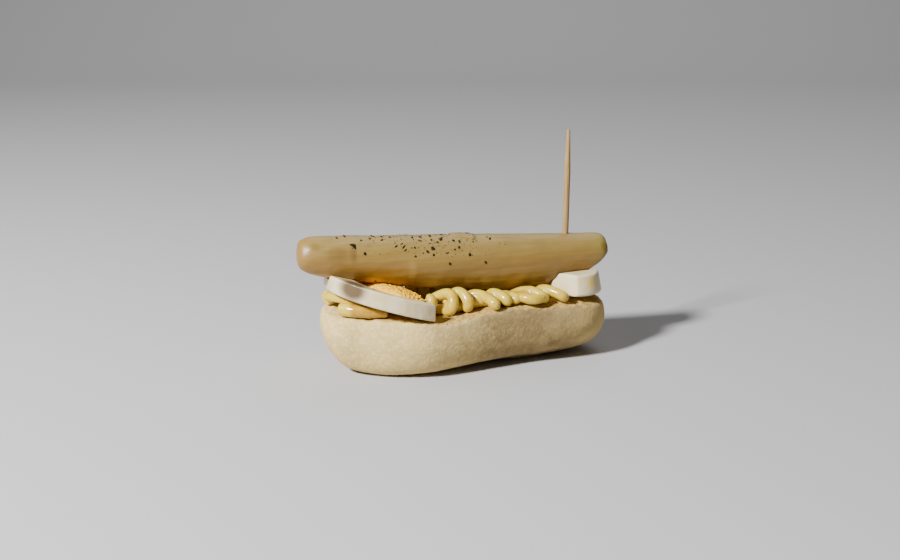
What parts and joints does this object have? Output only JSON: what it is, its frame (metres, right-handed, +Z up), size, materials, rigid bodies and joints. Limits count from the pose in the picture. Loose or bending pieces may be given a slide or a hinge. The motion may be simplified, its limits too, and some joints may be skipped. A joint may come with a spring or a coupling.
{
  "type": "mini panini",
  "caption": "Open-faced mini panini: half a small soft roll with piped mayonnaise, boiled egg, a white asparagus spear with pepper, and a toothpick stuck upright through it",
  "frame": {"origin": "on the flat underside of the roll, under the middle of its length and width", "axes": "+X along the roll from the asparagus tip's end to the toothpick's end, +Y across the roll to the back, +Z up along the toothpick"},
  "size_m": [0.0969, 0.0391, 0.0693],
  "materials": {
    "bread": "matt, pale floured crust with a fine cut crumb on top",
    "mayonnaise": "smooth, glossy and slightly translucent",
    "egg_white": "smooth and softly moist",
    "egg_yolk": "matt, fine and crumbly",
    "asparagus": "moist skin with fine lengthwise lines, sprinkled with coarse black pepper",
    "wood": "plain pale wood with a fine lengthwise grain"
  },
  "bodies": {
    "root": {"bread_base": "bread", "mayonnaise_front": "mayonnaise", "mayonnaise_back": "mayonnaise", "mayonnaise_end": "mayonnaise", "egg_white_left": "egg_white", "egg_yolk_left": "egg_yolk", "egg_white_right": "egg_white", "asparagus": "asparagus", "toothpick": "wood"}
  },
  "joints": []
}
